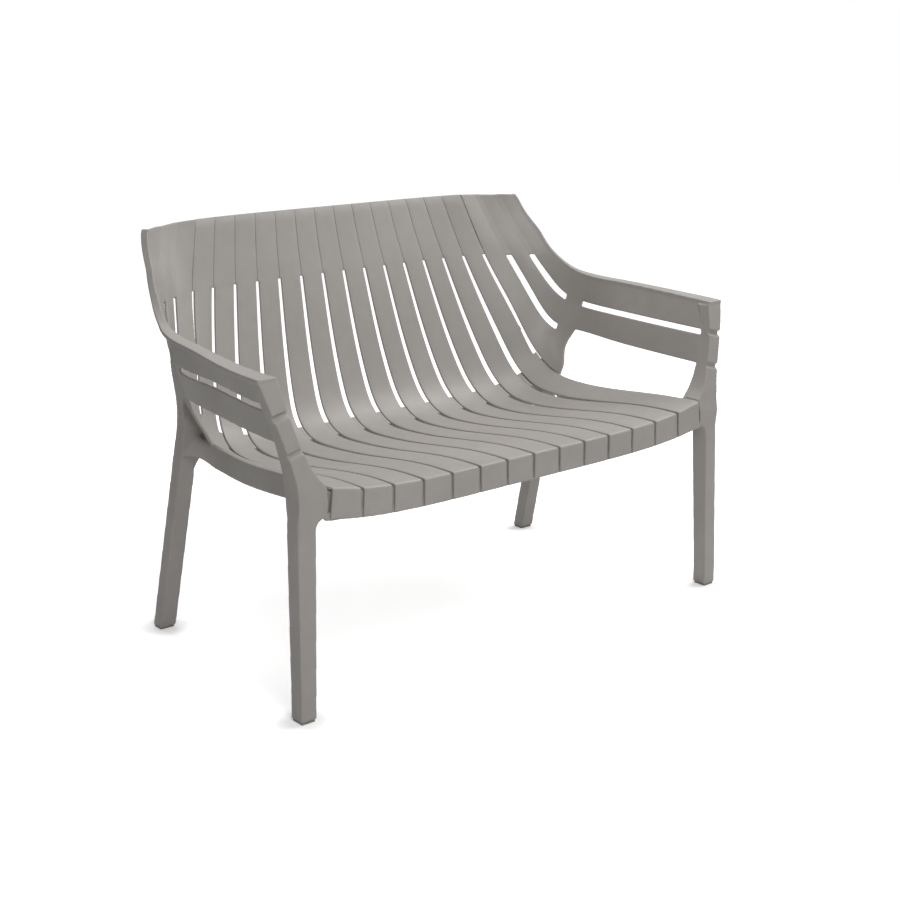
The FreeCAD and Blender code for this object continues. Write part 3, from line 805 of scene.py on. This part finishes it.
side_frames = {}
for side in ("right", "left"):
    members = [m + side for m in ("arm_rim_", "arm_panel_", "front_leg_", "rear_leg_", "side_rail_")]
    raw = gathered(members, ledge_and_ramps, side)
    moulding = softened("side_frame_" + side, raw, cube=0.0016, passes=4, swell=0.0003, keep=0.42)
    side_frames[side] = moulding, members
    print(moulding.name, len(moulding.data.polygons), "faces")

# %% [markdown]
# ## Small pulls on the skin
# A few places still stand some millimetres off the photograph. A sculptor would drag them with a grab brush,
# which moves everything near its centre and fades to nothing at its rim. We do the same with numbers, so that
# both sides match. The front legs get a longer pull: they keep their feet, and towards the seat they stand
# further back and grow a little wider.

# %% Grab brush
# where on the right side, how far the brush reaches, how the skin moves
pulls = {"arch beside the rear leg": ((0.478, 0.113, 0.374), 0.042, (0.0, 0.001, 0.0080)),
         "flank of the rear leg": ((0.475, 0.140, 0.362), 0.024, (0.0, 0.003, 0.002)),
         "rear edge of the arm opening": ((0.497, 0.088, 0.478), 0.052, (-0.002, 0.0135, 0.0)),
         "edge of the wing, upper half": ((0.508, 0.240, 0.768), 0.065, (-0.0058, 0.0068, 0.0)),
         "edge of the wing, lower half": ((0.519, 0.180, 0.695), 0.070, (0.002, 0.0078, 0.0)),
         "top line of the wing": ((0.468, 0.270, 0.800), 0.050, (0.0, 0.0, 0.003))}
leg_outside, leg_width, leg_depth = 0.5535, 0.032, 0.033
lean_outer, lean_inner_front = 0.0104, 0.0049
widen_outer, widen_inner = 0.0022, 0.0019


def leg_lean(points, turn):
    """How far the skin of a front leg moves: nothing at the foot, most just under the seat."""
    x, y, z = (points * turn).T
    back = y - front_edge
    inner = np.clip((leg_outside - x) / leg_width, 0.0, 1.0)
    front = 1 - np.clip(back / leg_depth, 0.0, 1.0)
    share = np.interp(z, [0.05, 0.362, 0.44], [0.0, 1.0, 0.0])
    share *= np.interp(back, [0.045, 0.12], [1.0, 0.0]) * np.interp(x, [0.47, 0.50], [0.0, 1.0])
    across = widen_outer - (widen_outer + widen_inner) * inner
    along = lean_outer - (lean_outer - lean_inner_front) * inner * front
    return turn * np.stack([across, along, np.zeros(len(z))], axis=1) * share[:, None]


def nudged(piece, side):
    turn = np.array([1.0 if side == "right" else -1.0, 1.0, 1.0])
    points = np.empty(3 * len(piece.data.vertices))
    piece.data.vertices.foreach_get("co", points)
    points = points.reshape(-1, 3)
    for centre, reach, move in pulls.values():
        far = np.linalg.norm(points - turn * centre, axis=1) / reach
        points = points + np.maximum(0.0, 1 - far**2)[:, None] ** 2 * turn * move
    piece.data.vertices.foreach_set("co", (points + leg_lean(points, turn)).ravel())
    return piece


for side, (moulding, members) in side_frames.items():
    dressed(nudged(moulding, side), members, "arm_resin")
print("%d pulls on each side frame" % (len(pulls) + 1))

# %% [markdown]
# ## Rails
# Four rails hold the slats from below and behind. They only show through the gaps, so plain bars with a
# coarse skin are enough. The rail behind the top band keeps its CAD shape. The front rail gets a strip that
# closes the foot of the gaps in the turned-down edge. The other two take their top from the slat lines, so
# that they follow every slat: a bar under the middle of the seat, and a web with a front wall at the bend.

# %% Rails
rail_clearance, web_depth, web_thickness = 0.0005, 0.0074, 0.005


def apron_strip(count):
    """Section of the strip behind the turned-down front edge."""
    x, y, z = seam_rows(abs(count))[0][0] * np.array([np.sign(count), 1.0, 1.0])
    near, far = y + slat_thickness - 0.0010, y + slat_thickness + 0.005
    low, high = z - np.interp(abs(count), [6.6, 6.95], [0.0012, 0.0042]), z + 0.012
    return [(x, near, low), (x, far, low), (x, far, high), (x, near, high)]


def cross_rail(count, wide=0.018, deep=0.030):
    """Section of the rail under the middle of the seat."""
    before, top, after = spline_rows(station_points(count), [1.98, 2.0, 2.02])
    run = (after - before) / np.linalg.norm(after - before)
    into = np.array([0.0, run[2], -run[1]])
    top = top + (slat_thickness + rail_clearance) * into
    front, rear = top - run * wide / 2, top + run * wide / 2
    return [front, rear, rear + into * deep, front + into * deep]


def lumbar_web(count):
    """Section of the web behind the bend: a strip close under the slats and a front wall that drops down."""
    top = spline_rows(station_points(count), [4.02, 4.25, 4.5, 4.75, 5.0])
    run = np.gradient(top, axis=0)
    into = np.stack([np.zeros(len(top)), run[:, 2], -run[:, 1]], axis=1)
    into /= np.linalg.norm(into, axis=1)[:, None]
    drop = np.interp(abs(count), [0, 6, 6.3, 6.88], [0.042, 0.050, 0.050, 0.034])
    foot, wall = np.array([0.0, 0.0, -drop]), np.array([0.0, web_thickness, 0.0])
    under = web_depth + web_thickness
    upper, lower = list(top + web_depth * into), list(top[::-1] + under * into)[:-1]
    return upper + lower + [top[0] + under * into[0] + wall, top[0] + foot + wall, top[0] + foot]


def rail_skin(name, section, reach):
    shape = bar([section(count) for count in np.linspace(-reach, reach, 55)])
    return softened(name, gathered([], [shape]), cube=0.0022, passes=3)


strip = bar([apron_strip(count) for count in np.linspace(-7.1, 7.1, 72)])
for node, extras in (("front_rail", [strip]), ("band_rail", [])):
    rail = softened("soft_" + node, gathered([node], extras), cube=0.0020, passes=3)
    dressed(rail, [node], "rail_resin")
dressed(rail_skin("soft_seat_rail", cross_rail, 6.78), ["seat_rail"], "rail_resin")
lumbar_rail = rail_skin("bridged_lumbar_rail", lumbar_web, 6.88)
print("lumbar web has %d faces" % len(lumbar_rail.data.polygons))

# %% [markdown]
# ## Bridges at the bend
# At the bend each slot has a floor: a short bridge from slat to slat that lies a little below their tops. A
# bridge is a short strip along a seam line, so the slat tree grows it too. All bridges belong to the lumbar
# rail, so they are joined to it in one mesh.


# %% Bridges
def make_bridge(count, recess=0.0026, overlap=0.0004):
    places = np.array([4.0, 4.01, 4.03, 4.06, 4.2, 4.35, 4.5, 4.65, 4.8, 4.94, 4.97, 4.99, 5.0])
    before, middle, after = (spline_rows(station_points(count + c), places) for c in (-0.5, 0.0, 0.5))
    across = (after - before) / np.linalg.norm(after - before, axis=1)[:, None]
    into = np.cross(np.gradient(middle, axis=0), across)
    into /= np.linalg.norm(into, axis=1)[:, None]
    reach = across * np.array([half_gap(count, place) + overlap for place in places])[:, None]
    return grown("bridge", middle - reach + into * recess, middle + reach + into * recess, into)


def joined(piece, others):
    form = bmesh.new()
    for part in [piece] + others:
        form.from_mesh(part.data)
    form.to_mesh(piece.data)
    form.free()
    for part in others:
        bpy.data.objects.remove(part)
    return piece


bridges = [make_bridge(count) for count in range(1 - slats_per_half, slats_per_half)]
dressed(joined(lumbar_rail, bridges), ["lumbar_rail"], "slat_resin")
print("lumbar rail carries %d bridges" % len(bridges))

# %% [markdown]
# ## Glides
# Each foot ends in a small glide pressed into the leg, which keeps the resin off the ground. It is so small
# that the same skin with finer cubes does the whole job.

# %% Glides
for glide in glides:
    dressed(softened("soft_" + glide, gathered([glide]), cube=0.0008, passes=3), [glide], "glide_rubber")
